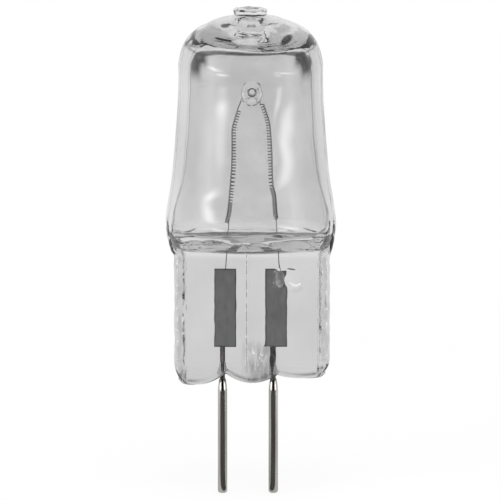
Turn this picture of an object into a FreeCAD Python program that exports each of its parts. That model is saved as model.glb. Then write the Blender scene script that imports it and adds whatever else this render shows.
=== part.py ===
import FreeCAD, Part
import math
import os
import re
import Sketcher

# A capsule lamp with two contact pins: a blown quartz bulb whose lower end is
# pressed flat round the foils and leads, and a coiled filament hooked over a
# glass bridge. Millimetres, +Z up the bulb, pins along X.
# The origin lies between the pins, where their straight part begins.

vector = FreeCAD.Vector
doc = FreeCAD.newDocument("CapsuleLamp")

# Driving sizes

sizes = {
    # how far a flat of a turned form may leave the true round
    "flatDepth": 0.06,
    # contact pins and the leads that they are swaged on
    "pinPitch": 4.0,
    "pinDiameter": 0.75,
    "pinLength": 8.2,
    "pinNose": 1.0,
    "pinMouth": 0.5,
    "pinNoseRadius": 3.2,
    "pinEndChamfer": 0.2,
    "socketDepth": 2.0,
    "leadDiameter": 0.4,
    "leadWeld": 0.9,
    "leadFlat": 0.06,
    # sealing foils
    "foilPitch": 4.0,
    "foilWidth": 1.69,
    "foilLength": 6.25,
    "foilThickness": 0.03,
    "foilFeather": 0.25,
    "foilBottom": 3.6,
    # pressed seal, seen from the front
    "glassShift": 0.22,
    "sealWidth": 12.25,
    "sealThickness": 2.5,
    "sealFoot": 0.65,
    "leftLobeRise": 0.05,
    "middleLobeRise": 0.15,
    "rightLobeRise": 0.5,
    "notchHeight": 1.65,
    "sealCornerRound": 0.9,
    "lobeRadius": 5.5,
    "railWidth": 0.8,
    "railThickness": 3.1,
    "railRound": 0.35,
    "earThickness": 2.4,
    "railFlare": 0.35,
    "funnelDiameter": 0.9,
    "funnelDepth": 0.35,
    "funnelDrop": 0.3,
    "seamWidth": 0.1,
    "seamDepth": 0.07,
    "seamAcross": -0.32,
    "seamFoot": 2.4,
    "dentDiameter": 2.3,
    "dentDepth": 0.25,
    "dentAcross": 2.93,
    "dentHeight": 9.0,
    # bulb, outside: heights are rises above the place before, radii step in
    "neckHeight": 11.55,
    "shoulderRise": 0.55,
    "shoulderInset": 1.2,
    "bellyRise": 1.2,
    "bellyRadius": 6.7,
    "bellyTopRise": 2.1,
    "bellyTaper": 0.2,
    "bellyCurve": 11.1,
    "waistRise": 4.9,
    "waistTaper": 0.57,
    "waistCurve": 34.0,
    "barrelRise": 3.1,
    "barrelTaper": 0.23,
    "crownRise": 2.5,
    "crownCurve": 2.9,
    "domeRise": 2.95,
    "domeInset": 1.55,
    "domeCurve": 8.8,
    # exhaust stub
    "stubRise": 0.98,
    "stubRadius": 1.25,
    "stubFillet": 0.16,
    "lipRise": 0.39,
    "lipFlare": 0.15,
    "lipRound": 0.28,
    "stubTopRise": 0.22,
    "stubTopInset": 0.35,
    "stubPit": 0.16,
    "stubPitRadius": 0.5,
    # bulb, inside, from the outside and the walls
    "floorRise": 1.05,
    "floorInset": 0.85,
    "cavityBellyRise": 0.9,
    "bellyWall": 0.5,
    "cavityTaperRise": 2.7,
    "cavityTaper": 1.0,
    "cavityBarrelRise": 3.0,
    "barrelWall": 0.9,
    "cavityCrownDrop": 0.5,
    "ceilingCorner": 2.25,
    "ceilingRise": 2.3,
    "ceilingInset": 2.2,
    "boreFootRise": 0.3,
    "boreRadius": 0.95,
    "boreRise": 0.9,
    "boreTopInset": 0.5,
    # glass bridge under the dome
    "bridgeDrop": 1.98,
    "bridgeAcross": 0.1,
    "bridgeRadius": 0.46,
    "bridgeRoot": 0.5,
    "bridgeRootRadius": 1.15,
    "pitMouthRadius": 0.85,
    "pitOverrun": 0.5,
    "pitRadius": 0.2,
    "pitEndDepth": 0.7,
    # filament
    "wireDiameter": 0.11,
    "wireSides": 3,
    "coilDiameter": 0.38,
    "coilPitch": 0.216,
    "coilSides": 5,
    "sleeveSides": 8,
    "legSpread": 1.42,
    "legFootSpread": 1.95,
    "legTopSpread": 0.88,
    "legFootGap": 1.15,
    "legHipRise": 3.65,
    "legKneeDrop": 3.02,
    "legTopDrop": 1.32,
    "leftCloseLength": 1.55,
    "rightCloseLength": 2.75,
    "hookClearance": 0.03,
    # the hook starts left of the bridge, in degrees, and turns over it
    "hookStart": 190,
    "hookSweep": 200,
    "hookSteps": 8,
    "tailPitch": 4.1,
    "tailDiameter": 0.1,
    "tailWeld": 0.9,
    "tailFlat": 0.02,
}

sheet = doc.addObject("Spreadsheet::Sheet", "Sizes")
for row, (name, amount) in enumerate(sizes.items(), start=1):
    sheet.set(f"A{row}", name)
    sheet.set(f"B{row}", str(amount))
    sheet.setAlias(f"B{row}", name)
doc.recompute()


# A formula is written with the plain names of the sizes above.
def formula(text):
    return re.sub(r"[A-Za-z]\w*", lambda word: f"Sizes.{word[0]}" if word[0] in sizes else word[0], text)


def measure(text):
    return float(sheet.evalExpression(formula(text)))


class size:
    pass


for name in sizes:
    setattr(size, name, measure(name))


def bind(thing, **formulas):
    for path, text in formulas.items():
        thing.setExpression(path.replace("__", "."), formula(text))


# Places worked out from the sizes, each above or inside the one before

shoulderHeight = "(neckHeight + shoulderRise)"
bellyHeight = f"({shoulderHeight} + bellyRise)"
bellyTopHeight = f"({bellyHeight} + bellyTopRise)"
waistHeight = f"({bellyTopHeight} + waistRise)"
barrelHeight = f"({waistHeight} + barrelRise)"
crownHeight = f"({barrelHeight} + crownRise)"
domeHeight = f"({crownHeight} + domeRise)"
stubFootHeight = f"({domeHeight} + stubRise)"
lipHeight = f"({stubFootHeight} + lipRise)"
stubTop = f"({lipHeight} + stubTopRise)"
shoulderRadius = "(bellyRadius - shoulderInset)"
bellyTopRadius = "(bellyRadius - bellyTaper)"
waistRadius = f"({bellyTopRadius} - waistTaper)"
barrelRadius = f"({waistRadius} - barrelTaper)"
lipRadius = "(stubRadius + lipFlare)"

floorHeight = "(neckHeight + floorRise)"
cavityBellyHeight = f"({floorHeight} + cavityBellyRise)"
cavityTaperHeight = f"({cavityBellyHeight} + cavityTaperRise)"
ceilingHeight = f"({crownHeight} - cavityCrownDrop + ceilingRise)"
boreFootHeight = f"({ceilingHeight} + boreFootRise)"
cavityBellyRadius = "(bellyRadius - bellyWall)"
cavityBarrelRadius = f"({barrelRadius} - barrelWall)"

bridgeHeight = f"({crownHeight} - bridgeDrop)"
bridgeStraight = f"({cavityBarrelRadius} - bridgeRoot)"
legFootHeight = f"({floorHeight} + legFootGap)"


# Sketches

def originPlane(body, role):
    return next(item for item in body.Origin.OriginFeatures if item.Role == role)


# Draws a closed loop of corners, each (across, up) in formulas. A side that is
# named in arcs is round, with (radius, way): way +1 turns left, -1 turns right.
# With flats, a round side is a run of equal flats whose corners lie on the arc.
def drawLoop(sketch, corners, arcs, flats):
    points = [vector(measure(across), measure(up), 0) for across, up in corners]
    ends = []
    for side, first in enumerate(points):
        last = points[(side + 1) % len(points)]
        if side in arcs:
            ends.append(drawRoundSide(sketch, first, last, *arcs[side], flats))
        else:
            item = sketch.addGeometry(Part.LineSegment(first, last))
            ends.append(((item, 1), (item, 2)))
    for corner, (across, up) in enumerate(corners):
        start = ends[corner][0]
        sketch.addConstraint(Sketcher.Constraint("Coincident", *ends[corner - 1][1], *start))
        for kind, text, axis in (("DistanceX", across, -2), ("DistanceY", up, -1)):
            if text == "0":
                sketch.addConstraint(Sketcher.Constraint("PointOnObject", *start, axis))
                continue
            rule = sketch.addConstraint(Sketcher.Constraint(kind, -1, 1, *start, measure(text)))
            sketch.setExpression(f"Constraints[{rule}]", formula(text))


# Draws an arc from first to last and gives the two ends of what it drew.
def drawRoundSide(sketch, first, last, radiusText, way, flats):
    radius = measure(radiusText)
    chord = last - first
    left = vector(-chord.y, chord.x, 0).normalize()
    reach = math.sqrt(max(radius ** 2 - (chord.Length / 2) ** 2, 0))
    centre = (first + last) / 2 + left * (reach * way)
    startAngle = math.atan2(first.y - centre.y, first.x - centre.x)
    sweep = way * 2 * math.asin(min(1, chord.Length / (2 * radius)))
    low, high = sorted((startAngle, startAngle + sweep))
    arc = sketch.addGeometry(Part.ArcOfCircle(Part.Circle(centre, vector(0, 0, 1), radius), low, high), flats)
    rule = sketch.addConstraint(Sketcher.Constraint("Radius", arc, radius))
    sketch.setExpression(f"Constraints[{rule}]", formula(radiusText))
    arcEnds = ((arc, 1), (arc, 2)) if way > 0 else ((arc, 2), (arc, 1))
    if not flats:
        return arcEnds
    flatSweep = 2 * math.acos(1 - measure("flatDepth") / radius)
    count = math.ceil(abs(sweep) / flatSweep)
    angles = [startAngle + sweep * step / count for step in range(count + 1)]
    corners = [centre + vector(math.cos(angle), math.sin(angle), 0) * radius for angle in angles]
    items = [sketch.addGeometry(Part.LineSegment(*pair)) for pair in zip(corners, corners[1:])]
    for before, after in zip(items, items[1:]):
        sketch.addConstraint(Sketcher.Constraint("Coincident", before, 2, after, 1))
        sketch.addConstraint(Sketcher.Constraint("PointOnObject", after, 1, arc))
        sketch.addConstraint(Sketcher.Constraint("Equal", before, after))
    sketch.addConstraint(Sketcher.Constraint("Coincident", *arcEnds[0], items[0], 1))
    sketch.addConstraint(Sketcher.Constraint("Coincident", *arcEnds[1], items[-1], 2))
    return ((items[0], 1), (items[-1], 2))


def addSketch(body, name, role, corners, arcs=None, flats=False):
    sketch = body.newObject("Sketcher::SketchObject", name)
    sketch.AttachmentSupport = (originPlane(body, role), "")
    sketch.MapMode = "FlatFace"
    drawLoop(sketch, corners, arcs or {}, flats)
    return sketch


def addTurned(body, name, sketch, cut=False):
    turned = body.newObject("PartDesign::Groove" if cut else "PartDesign::Revolution", name)
    turned.Profile = sketch
    turned.ReferenceAxis = (sketch, ["V_Axis"])
    turned.Angle = 360
    return turned


def addPad(body, name, sketch, lengthText):
    pad = body.newObject("PartDesign::Pad", name)
    pad.Profile = sketch
    pad.SideType = "Symmetric"
    bind(pad, Length=lengthText)
    return pad


def addCut(name, base, tool):
    cut = doc.addObject("Part::Cut", name)
    cut.Base = base
    cut.Tool = tool
    return cut


def addFusion(name, pieces):
    fusion = doc.addObject("Part::MultiFuse", name)
    fusion.Shapes = pieces
    return fusion


# Quartz envelope, outside: the bulb is turned, the seal is pressed from the same glass

glassForm = doc.addObject("PartDesign::Body", "glass_form")
bind(glassForm, Placement__Base__x="glassShift")

bulbSketch = addSketch(glassForm, "bulb_profile", "XZ_Plane", [
    ("0", "neckHeight"),
    (shoulderRadius, shoulderHeight),
    ("bellyRadius", bellyHeight),
    (bellyTopRadius, bellyTopHeight),
    (waistRadius, waistHeight),
    (barrelRadius, barrelHeight),
    (barrelRadius, crownHeight),
    (f"{barrelRadius} - domeInset", domeHeight),
    ("stubRadius + stubFillet", stubFootHeight),
    ("stubRadius", f"{stubFootHeight} + stubFillet"),
    (lipRadius, lipHeight),
    (f"{lipRadius} - stubTopInset", stubTop),
    ("stubPitRadius", f"{stubTop} - stubPit"),
    ("0", f"{stubTop} - stubPit"),
], {
    1: ("shoulderInset", 1),
    2: ("bellyCurve", 1),
    3: ("waistCurve", -1),
    6: ("crownCurve", 1),
    7: ("domeCurve", 1),
    8: ("stubFillet", -1),
    10: ("lipRound", 1),
}, flats=True)
addTurned(glassForm, "bulb_outside", bulbSketch)

halfWidth = "sealWidth / 2"
leftPin = "(-pinPitch / 2 - glassShift)"
rightPin = "(pinPitch / 2 - glassShift)"
sealSketch = addSketch(glassForm, "seal_outline", "XZ_Plane", [
    (f"-{halfWidth}", shoulderHeight),
    (f"-{halfWidth}", "sealFoot + leftLobeRise + sealCornerRound"),
    (f"-{halfWidth} + sealCornerRound", "sealFoot + leftLobeRise"),
    (leftPin, "notchHeight"),
    (rightPin, "notchHeight"),
    (f"{halfWidth} - sealCornerRound", "sealFoot + rightLobeRise"),
    (halfWidth, "sealFoot + rightLobeRise + sealCornerRound"),
    (halfWidth, shoulderHeight),
], {
    1: ("sealCornerRound", 1),
    2: ("lobeRadius", 1),
    3: ("((pinPitch / 2) ^ 2 + (notchHeight - sealFoot - middleLobeRise) ^ 2)"
        " / (2 * (notchHeight - sealFoot - middleLobeRise))", 1),
    4: ("lobeRadius", 1),
    5: ("sealCornerRound", 1),
})
addPad(glassForm, "seal_web", sealSketch, "sealThickness")

# A rail thickens each side of the seal. Its outer corners are round, and at
# its top an ear spreads to meet the bulb.
railDepth = "railThickness / 2"
for side, word, rise in ((-1, "left", "leftLobeRise"), (1, "right", "rightLobeRise")):
    inner = f"{side} * ({halfWidth} - railWidth)"
    turn = f"{side} * ({halfWidth} - railRound)"
    edge = f"{side} * {halfWidth}"
    railSketch = addSketch(glassForm, f"rail_section_{word}", "XY_Plane", [
        (inner, f"-{railDepth}"),
        (turn, f"-{railDepth}"),
        (edge, f"-{railDepth} + railRound"),
        (edge, f"{railDepth} - railRound"),
        (turn, railDepth),
        (inner, railDepth),
    ], {1: ("railRound", side), 3: ("railRound", side)})
    bind(railSketch, AttachmentOffset__Base__z=f"sealFoot + {rise} + sealCornerRound")
    rail = glassForm.newObject("PartDesign::Pad", f"rail_{word}")
    rail.Profile = railSketch
    bind(rail, Length=f"{shoulderHeight} - sealFoot - {rise} - sealCornerRound")

    earTop = f"{bellyHeight} - shoulderInset / 2"
    earSketch = addSketch(glassForm, f"ear_outline_{word}", "XZ_Plane", [
        (inner, "neckHeight"),
        (edge, "neckHeight"),
        (f"{side} * ({halfWidth} + railFlare)", earTop),
        (inner, bellyHeight),
    ], {1: (f"(({earTop} - neckHeight) ^ 2 + railFlare ^ 2) / (2 * railFlare)", -side)})
    addPad(glassForm, f"ear_{word}", earSketch, "earThickness")

# Quartz envelope, inside: the cavity is turned too, and a glass bridge crosses it

cavityForm = doc.addObject("PartDesign::Body", "cavity_form")
bind(cavityForm, Placement__Base__x="glassShift")
cavitySketch = addSketch(cavityForm, "cavity_profile", "XZ_Plane", [
    ("0", floorHeight),
    (f"{cavityBellyRadius} - floorInset", floorHeight),
    (cavityBellyRadius, cavityBellyHeight),
    (f"{cavityBellyRadius} - cavityTaper", cavityTaperHeight),
    (cavityBarrelRadius, f"{cavityTaperHeight} + cavityBarrelRise"),
    (cavityBarrelRadius, f"{crownHeight} - cavityCrownDrop"),
    (f"{cavityBarrelRadius} - ceilingInset", ceilingHeight),
    ("boreRadius", boreFootHeight),
    ("boreRadius - boreTopInset", f"{boreFootHeight} + boreRise"),
    ("0", f"{boreFootHeight} + boreRise"),
], {
    5: ("ceilingCorner", 1),
}, flats=True)
addTurned(cavityForm, "cavity", cavitySketch)


def placeOnBridge(thing):
    bind(thing, Placement__Base__x="glassShift + bridgeAcross", Placement__Base__z=bridgeHeight)


bridgeForm = doc.addObject("PartDesign::Body", "bridge_form")
placeOnBridge(bridgeForm)
bridgeSketch = addSketch(bridgeForm, "bridge_profile", "XY_Plane", [
    ("0", f"-{waistRadius}"),
    ("bridgeRootRadius", f"-{waistRadius}"),
    ("bridgeRadius", f"-{bridgeStraight}"),
    ("bridgeRadius", bridgeStraight),
    ("bridgeRootRadius", waistRadius),
    ("0", waistRadius),
])
addTurned(bridgeForm, "bridge", bridgeSketch)

pitForms = []
for side, word in ((-1, "front"), (1, "back")):
    pitForm = doc.addObject("PartDesign::Body", f"pit_form_{word}")
    placeOnBridge(pitForm)
    pitSketch = addSketch(pitForm, f"pit_profile_{word}", "XY_Plane", [
        ("0", f"{side} * ({waistRadius} + pitOverrun)"),
        ("pitMouthRadius", f"{side} * ({waistRadius} + pitOverrun)"),
        ("pitRadius", f"{side} * {bridgeStraight}"),
        ("pitRadius", f"{side} * pitEndDepth"),
        ("0", f"{side} * pitEndDepth"),
    ])
    addTurned(pitForm, f"pit_{word}", pitSketch)
    pitForms.append(pitForm)

# Contact pins: turned nickel with a bullet nose, and a socket for the lead

pins = []
leads = []
foils = []
for side, word in ((-1, "left"), (1, "right")):
    pin = doc.addObject("PartDesign::Body", f"contact_pin_{word}")
    pin.Label = f"contact_pin_{word}"
    bind(pin, Placement__Base__x=f"{side} * pinPitch / 2")
    pinSketch = addSketch(pin, f"pin_profile_{word}", "XZ_Plane", [
        ("0", "-pinLength"),
        ("pinDiameter / 2 - pinEndChamfer", "-pinLength"),
        ("pinDiameter / 2", "-pinLength + pinEndChamfer"),
        ("pinDiameter / 2", "0"),
        ("pinMouth / 2", "pinNose"),
        ("leadDiameter / 2", "pinNose"),
        ("leadDiameter / 2", "-socketDepth"),
        ("0", "-socketDepth"),
    ], {
        3: ("pinNoseRadius", 1),
    }, flats=True)
    addTurned(pin, f"pin_{word}", pinSketch)
    pins.append(pin)

    rod = doc.addObject("Part::Cylinder", f"lead_rod_{word}")
    bind(rod, Radius="leadDiameter / 2", Height="socketDepth + foilBottom + leadWeld",
         Placement__Base__x=f"{side} * pinPitch / 2", Placement__Base__z="-socketDepth")
    flat = doc.addObject("Part::Box", f"lead_flat_{word}")
    bind(flat, Length="leadDiameter", Width="leadDiameter", Height="leadWeld",
         Placement__Base__x=f"{side} * pinPitch / 2 - leadDiameter / 2",
         Placement__Base__y="-leadDiameter * 1.5 + leadFlat",
         Placement__Base__z="foilBottom")
    lead = addCut(f"lead_wire_{word}", rod, flat)
    lead.Label = f"lead_wire_{word}"
    leads.append(lead)

    # A foil has feathered long edges, and its back lies on the lead's flat.
    foil = doc.addObject("PartDesign::Body", f"foil_{word}")
    foil.Label = f"foil_{word}"
    bind(foil, Placement__Base__x=f"{side} * foilPitch / 2 + glassShift",
         Placement__Base__y="-leadDiameter / 2 + leadFlat - foilThickness / 2",
         Placement__Base__z="foilBottom")
    foilSketch = addSketch(foil, f"foil_section_{word}", "XY_Plane", [
        ("-foilWidth / 2", "0"),
        ("-foilWidth / 2 + foilFeather", "-foilThickness / 2"),
        ("foilWidth / 2 - foilFeather", "-foilThickness / 2"),
        ("foilWidth / 2", "0"),
        ("foilWidth / 2 - foilFeather", "foilThickness / 2"),
        ("-foilWidth / 2 + foilFeather", "foilThickness / 2"),
    ])
    strip = foil.newObject("PartDesign::Pad", f"foil_strip_{word}")
    strip.Profile = foilSketch
    bind(strip, Length="foilLength")
    foils.append(foil)

# Filament: a coil up each leg and a hook of plain wire over the bridge

footHeight = measure(legFootHeight)
hipHeight = footHeight + size.legHipRise
kneeHeight = measure(bridgeHeight) - size.legKneeDrop
topHeight = measure(bridgeHeight) - size.legTopDrop


# How far a leg's centre line stands from the bulb's axis at a height.
def legOffset(height):
    drop = max(0, (hipHeight - height) / size.legHipRise)
    rise = max(0, (height - kneeHeight) / (topHeight - kneeHeight))
    outward = (size.legFootSpread - size.legSpread) * drop ** 2
    inward = (size.legSpread - size.legTopSpread) * rise ** 1.5
    return size.legSpread + outward - inward


def legPoint(side, height):
    return vector(size.glassShift + side * legOffset(height), 0, height)


# The corners of one leg's open coil, from its close-wound foot to its top.
def coilCorners(side, lowest):
    radius = (size.coilDiameter - size.wireDiameter) / 2
    count = int((topHeight - lowest) / size.coilPitch * size.coilSides)
    corners = []
    for step in range(count + 1):
        angle = 2 * math.pi * step / size.coilSides
        swing = vector(math.cos(angle), side * math.sin(angle), 0) * radius
        corners.append(legPoint(side, lowest + step * size.coilPitch / size.coilSides) + swing)
    return corners


# A bar of a regular section along straight runs with mitred corners.
def addBar(name, corners, diameter, sides):
    path = doc.addObject("Part::Feature", f"{name}_path")
    path.Shape = Part.makePolygon(corners)
    ring = []
    for corner in range(int(sides) + 1):
        angle = 2 * math.pi * corner / int(sides)
        ring.append(vector(math.cos(angle), math.sin(angle), 0) * (diameter / 2))
    section = doc.addObject("Part::Feature", f"{name}_section")
    section.Shape = Part.makePolygon(ring)
    facing = FreeCAD.Rotation(vector(0, 0, 1), corners[1] - corners[0])
    section.Placement = FreeCAD.Placement(corners[0], facing)
    bar = doc.addObject("Part::Sweep", name)
    bar.Sections = [section]
    bar.Spine = (path, [])
    bar.Transition = "Right corner"
    bar.Solid = True
    return bar


# The hook passes over the bridge, clear of it by hookClearance.
hookRadius = size.bridgeRadius + size.hookClearance + size.wireDiameter / 2
hookCentre = vector(size.glassShift + size.bridgeAcross, 0, measure(bridgeHeight))
hook = []
for step in range(int(size.hookSteps) + 1):
    angle = math.radians(size.hookStart - size.hookSweep * step / size.hookSteps)
    hook.append(hookCentre + vector(math.cos(angle), 0, math.sin(angle)) * hookRadius)

leftCoil = coilCorners(-1, footHeight + size.leftCloseLength)
rightCoil = coilCorners(1, footHeight + size.rightCloseLength)
wire = addBar("coiled_wire", leftCoil + hook + rightCoil[::-1], size.wireDiameter, size.wireSides)
sleeves = []
for side, word, length in ((-1, "left", size.leftCloseLength), (1, "right", size.rightCloseLength)):
    run = [legPoint(side, footHeight + length * share) for share in (0, 1 / 2, 1)]
    sleeves.append(addBar(f"close_turns_{word}", run, size.coilDiameter, size.sleeveSides))

# A tail runs down from each foot. It is flattened where it is welded behind the foil.
tails = []
tailStart = "foilBottom + foilLength - tailWeld"
foilBack = "-leadDiameter / 2 + leadFlat"
for side, word in ((-1, "left"), (1, "right")):
    tailAcross = f"{side} * tailPitch / 2 + glassShift"
    tailRod = doc.addObject("Part::Cylinder", f"tail_rod_{word}")
    bind(tailRod, Radius="tailDiameter / 2", Height=f"{legFootHeight} + coilDiameter / 2 - ({tailStart})",
         Placement__Base__x=tailAcross, Placement__Base__y=f"{foilBack} + tailDiameter / 2 - tailFlat",
         Placement__Base__z=tailStart)
    weld = doc.addObject("Part::Box", f"tail_flat_{word}")
    bind(weld, Length="tailDiameter", Width="tailDiameter", Height="tailWeld",
         Placement__Base__x=f"{tailAcross} - tailDiameter / 2",
         Placement__Base__y=f"{foilBack} - tailDiameter", Placement__Base__z=tailStart)
    tails.append(addCut(f"tail_{word}", tailRod, weld))

filament = addFusion("filament", [wire] + sleeves + tails)
filament.Label = "filament"

# Quartz envelope, whole: what is sealed in fills its own room in the glass

hollow = addCut("hollow_round_bridge", cavityForm, bridgeForm)
dentBallRadius = "((dentDiameter / 2) ^ 2 + dentDepth ^ 2) / (2 * dentDepth)"
dent = doc.addObject("Part::Sphere", "dent_ball")
bind(dent, Radius=dentBallRadius, Placement__Base__x="dentAcross + glassShift",
     Placement__Base__y=f"dentDepth - sealThickness / 2 - {dentBallRadius}",
     Placement__Base__z="dentHeight")
seam = doc.addObject("Part::Box", "seam_groove")
bind(seam, Length="seamWidth", Width="seamDepth", Height="neckHeight - seamFoot",
     Placement__Base__x="glassShift + seamAcross - seamWidth / 2",
     Placement__Base__y="-sealThickness / 2", Placement__Base__z="seamFoot")
funnels = []
for side, word in ((-1, "left"), (1, "right")):
    funnel = doc.addObject("Part::Cone", f"funnel_{word}")
    bind(funnel, Radius1="funnelDiameter / 2", Radius2="leadDiameter / 2", Height="funnelDrop + funnelDepth",
         Placement__Base__x=f"{side} * pinPitch / 2", Placement__Base__z="notchHeight - funnelDrop")
    funnels.append(funnel)

taken = addFusion("taken_out", [hollow, dent, seam] + pitForms + funnels + foils + leads + tails)
envelope = addCut("quartz_envelope", glassForm, taken)
envelope.Label = "quartz_envelope"

doc.recompute()

# Check every object and write each piece

for thing in doc.Objects:
    if any(word in thing.State for word in ("Invalid", "Error")):
        raise RuntimeError(f"{thing.Name} did not build: {thing.State}")

os.makedirs("parts", exist_ok=True)
for piece in [envelope, filament] + foils + leads + pins:
    shape = piece.Shape
    if shape.isNull() or not shape.isValid():
        raise RuntimeError(f"{piece.Label} has no valid shape")
    shape.exportStep(f"parts/{piece.Label}.step")
    print(piece.Label, "solids", len(shape.Solids), "volume", round(shape.Volume, 4))
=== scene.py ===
import math

import bmesh
import bpy
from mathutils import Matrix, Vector, noise


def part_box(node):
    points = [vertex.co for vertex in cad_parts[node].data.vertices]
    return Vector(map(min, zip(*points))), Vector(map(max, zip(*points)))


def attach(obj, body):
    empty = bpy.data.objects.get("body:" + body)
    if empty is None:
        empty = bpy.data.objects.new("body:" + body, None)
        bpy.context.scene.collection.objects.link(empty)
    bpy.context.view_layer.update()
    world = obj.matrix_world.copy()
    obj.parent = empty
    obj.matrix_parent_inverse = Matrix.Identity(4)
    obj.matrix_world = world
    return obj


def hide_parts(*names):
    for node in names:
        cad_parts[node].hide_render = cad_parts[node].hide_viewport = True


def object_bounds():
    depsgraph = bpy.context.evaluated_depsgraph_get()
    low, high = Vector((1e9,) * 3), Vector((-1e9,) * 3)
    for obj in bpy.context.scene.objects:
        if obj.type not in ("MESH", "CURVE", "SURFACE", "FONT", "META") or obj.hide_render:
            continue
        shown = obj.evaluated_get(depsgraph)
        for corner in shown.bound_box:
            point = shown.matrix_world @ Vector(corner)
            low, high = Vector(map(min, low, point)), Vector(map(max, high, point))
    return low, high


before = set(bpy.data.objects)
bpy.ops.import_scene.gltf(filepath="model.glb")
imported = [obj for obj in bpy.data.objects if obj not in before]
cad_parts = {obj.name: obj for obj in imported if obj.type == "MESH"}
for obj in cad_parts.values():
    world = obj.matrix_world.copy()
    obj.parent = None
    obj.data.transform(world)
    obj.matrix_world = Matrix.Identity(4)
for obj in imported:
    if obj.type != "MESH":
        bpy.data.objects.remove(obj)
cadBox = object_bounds()
print("frame loaded")

# All sizes below are in millimetres and are made metres where a mesh is written.
mm = 0.001


def boxOf(node):
    low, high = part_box(node)
    return low / mm, high / mm


def middleOf(node):
    low, high = boxOf(node)
    return (low + high) / 2


glassLow, glassHigh = boxOf("quartz_envelope")
bulbAxis = (glassLow.x + glassHigh.x) / 2


def ease(start, end, amount):
    share = min(1, max(0, (amount - start) / (end - start)))
    return share * share * (3 - 2 * share)


def mix(first, last, share):
    return first + (last - first) * share


def softMin(first, last, reach):
    near = max(0, reach - abs(first - last)) / reach
    return min(first, last) - near * near * reach / 4


def softMax(first, last, reach):
    return -softMin(-first, -last, reach)


# A smooth line through a few knots, cut into equal steps.
def smoothLine(knots, spacing):
    points = [Vector(knot) for knot in knots]
    padded = [points[0] * 2 - points[1]] + points + [points[-1] * 2 - points[-2]]
    dense = []
    cuts = 24
    for a, b, c, d in zip(padded, padded[1:], padded[2:], padded[3:]):
        for cut in range(cuts):
            t = cut / cuts
            dense.append((b * 2 + (c - a) * t + (a * 2 - b * 5 + c * 4 - d) * t * t
                          + (b * 3 - a - c * 3 + d) * t ** 3) / 2)
    dense.append(points[-1])
    lengths = [0]
    for before, after in zip(dense, dense[1:]):
        lengths.append(lengths[-1] + (after - before).length)
    steps = max(1, round(lengths[-1] / spacing))
    line = []
    place = 0
    for step in range(steps + 1):
        wanted = lengths[-1] * step / steps
        while place < len(dense) - 2 and lengths[place + 1] < wanted:
            place += 1
        share = (wanted - lengths[place]) / max(1e-9, lengths[place + 1] - lengths[place])
        line.append(dense[place].lerp(dense[place + 1], min(1, share)))
    return line


# The unit normals of a smooth line of (radius, height), to its right.
def lineNormals(line):
    normals = []
    for place in range(len(line)):
        ahead = line[min(place + 1, len(line) - 1)] - line[max(place - 1, 0)]
        normals.append(Vector((ahead.y, -ahead.x)).normalized())
    return normals


# A point turned round the upright axis.
def turned(angle, radius, height):
    return Vector((math.cos(angle) * radius, math.sin(angle) * radius, height))


# Faces between rings of points that all have the same count.
def ringFaces(rings, count, first=0):
    faces = []
    for ring in range(rings - 1):
        for place in range(count):
            after = (place + 1) % count
            low = first + ring * count
            high = low + count
            faces.append((low + place, low + after, high + after, high + place))
    return faces


# The two faces that close the first and the last ring.
def endFaces(total, count):
    return [tuple(range(count))[::-1], tuple(range(total - count, total))]


# Faces of rings that start and end in one point each.
def closedFaces(total, rings, count):
    faces = [(0, (place + 1) % count + 1, place + 1) for place in range(count)]
    faces += ringFaces(rings, count, 1)
    last = total - 1 - count
    faces += [(total - 1, last + place, last + (place + 1) % count) for place in range(count)]
    return faces


def makeMesh(name, points, faces, sharpAngle=None):
    mesh = bpy.data.meshes.new(name)
    mesh.from_pydata([tuple(point * mm) for point in points], [], faces)
    mesh.validate()
    mesh.shade_smooth()
    if sharpAngle:
        mesh.set_sharp_from_angle(angle=math.radians(sharpAngle))
    piece = bpy.data.objects.new(name, mesh)
    bpy.context.scene.collection.objects.link(piece)
    return piece


def dress(piece, material, slotName, *nodes):
    piece.data.materials.clear()
    piece.data.materials.append(material)
    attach(piece, "root")
    if nodes:
        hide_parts(*nodes)
    return piece


# Unevenness of a height and a size, different for each seed.
def ripple(point, height, size, seed):
    return height * noise.noise(point / size + Vector((seed, seed * 0.37, -seed)))


# A closed form turned about a line along Y, for the bridge and the pits.
def turnedAlongY(name, knots, centre, spacing, count, slope=0):
    line = smoothLine(knots, spacing)
    points = []
    for radius, along in line:
        for place in range(count):
            angle = 2 * math.pi * place / count
            up = math.sin(angle) * radius + along * slope
            points.append(centre + Vector((math.cos(angle) * radius, along, up)))
    faces = ringFaces(len(line), count) + endFaces(len(points), count)
    return makeMesh(name, points, faces)


def turnedAlongZ(name, profile, centre, count):
    points = []
    for radius, height in profile:
        for place in range(count):
            points.append(centre + turned(2 * math.pi * place / count, radius, height))
    faces = ringFaces(len(profile), count) + endFaces(len(points), count)
    return makeMesh(name, points, faces, sharpAngle=50)


def outwardNormals(piece):
    form = bmesh.new()
    form.from_mesh(piece.data)
    bmesh.ops.recalc_face_normals(form, faces=form.faces)
    form.to_mesh(piece.data)
    form.free()


def cutAway(piece, tool):
    outwardNormals(piece)
    outwardNormals(tool)
    cut = piece.modifiers.new("cut", "BOOLEAN")
    cut.operation = "DIFFERENCE"
    cut.solver = "MANIFOLD"
    cut.object = tool
    bpy.context.view_layer.update()
    graph = bpy.context.evaluated_depsgraph_get()
    whole = bpy.data.meshes.new_from_object(piece.evaluated_get(graph))
    piece.modifiers.clear()
    piece.data = whole
    bpy.data.objects.remove(tool)


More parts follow.
